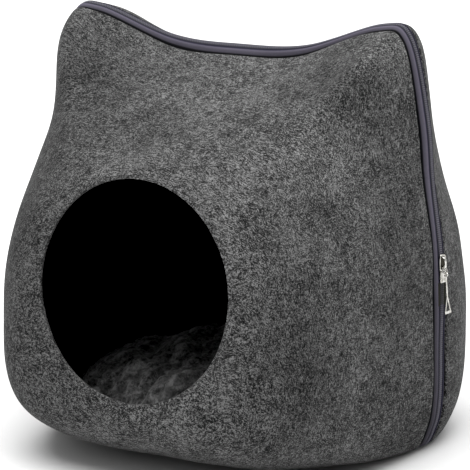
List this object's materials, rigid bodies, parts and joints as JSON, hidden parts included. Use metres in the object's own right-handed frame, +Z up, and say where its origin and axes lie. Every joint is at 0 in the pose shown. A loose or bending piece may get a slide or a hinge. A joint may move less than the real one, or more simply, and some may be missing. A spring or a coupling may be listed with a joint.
{
  "type": "felt cat cave",
  "caption": "Moulded felt pet cave shaped like a cat's head, with a round mouth, a zip right round the profile and a plush cushion inside.",
  "frame": {"origin": "middle of the base, on the floor", "axes": "+Z up, the mouth faces -Y, the zip lies in a plane across X with its slider on the +X side"},
  "size_m": [0.4802, 0.409, 0.4525],
  "materials": {
    "charcoal_felt": "matt moulded felt",
    "tape_weave": "matt woven tape",
    "coil_nylon": "satin coil",
    "slider_metal": "polished",
    "plush": "short pile"
  },
  "bodies": {
    "root": {"front_shell": "charcoal_felt", "back_shell": "charcoal_felt", "zip_tape_front": "tape_weave", "zip_tape_back": "tape_weave", "zip_chain": "coil_nylon", "zip_slider": "slider_metal", "zip_box": "slider_metal", "pull_link": "slider_metal", "pull_tab": "slider_metal", "cushion": "plush"}
  },
  "joints": []
}
